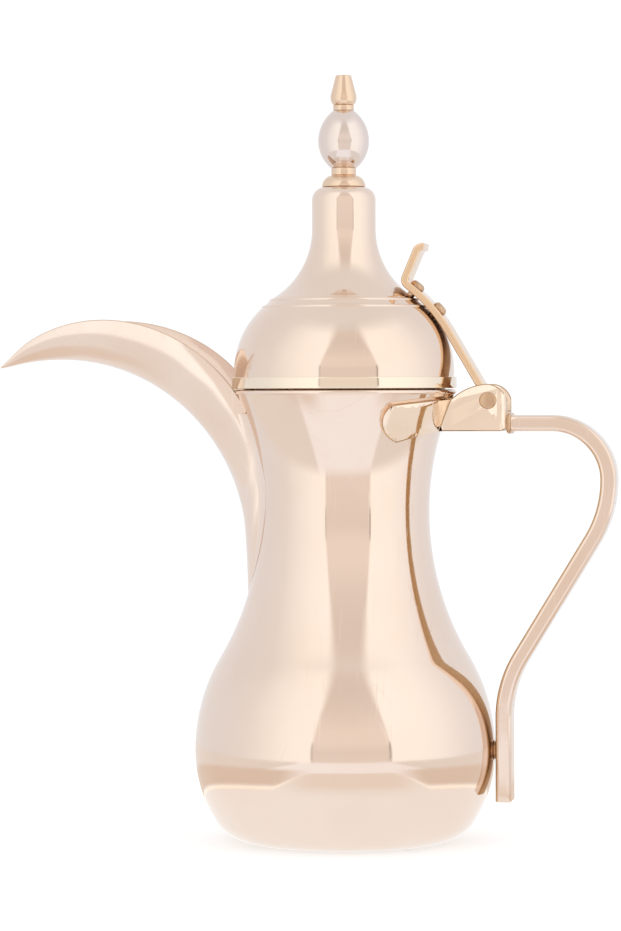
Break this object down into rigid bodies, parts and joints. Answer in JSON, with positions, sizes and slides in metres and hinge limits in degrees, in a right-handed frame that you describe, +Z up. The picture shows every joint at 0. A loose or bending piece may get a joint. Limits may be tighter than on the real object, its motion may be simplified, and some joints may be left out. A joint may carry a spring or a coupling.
{
  "type": "dallah coffee pot",
  "caption": "Polished rose-gold dallah coffee pot: spun waisted body, curved beak spout, hinged domed lid with a turned finial and thumb tab, and a bent flat-bar handle.",
  "frame": {"origin": "centre of the flat base, on the pot axis", "axes": "+Z up; spout toward -X, handle toward +X"},
  "size_m": [0.2462, 0.118, 0.2999],
  "materials": {
    "rose_gold": "mirror polished",
    "rose_gold_fittings": "polished, hand finished",
    "steel": "plain"
  },
  "bodies": {
    "pot": {"body_shell": "rose_gold", "base_plate": "rose_gold", "spout": "rose_gold", "hinge_yoke": "rose_gold_fittings", "hinge_pin": "rose_gold_fittings", "hinge_washers": "steel", "handle": "rose_gold_fittings", "handle_foot_pad": "rose_gold_fittings"},
    "lid": {"lid_dome": "rose_gold", "lid_bell": "rose_gold", "lid_band": "rose_gold", "lid_sleeve": "rose_gold", "lid_strap": "rose_gold_fittings", "lid_rivets": "rose_gold_fittings", "finial_flange": "rose_gold", "finial_collar": "rose_gold", "finial_bulb": "rose_gold", "finial_ring": "rose_gold", "finial_tip": "rose_gold", "finial_stud": "steel", "finial_washer": "steel", "finial_nut": "steel"}
  },
  "joints": [
    {"name": "lid_hinge", "type": "hinge", "parent": "pot", "child": "lid", "pos_m": [0.0578, 0, 0.1725], "axis": [0, 1, 0], "range_deg": [0, 110]}
  ]
}
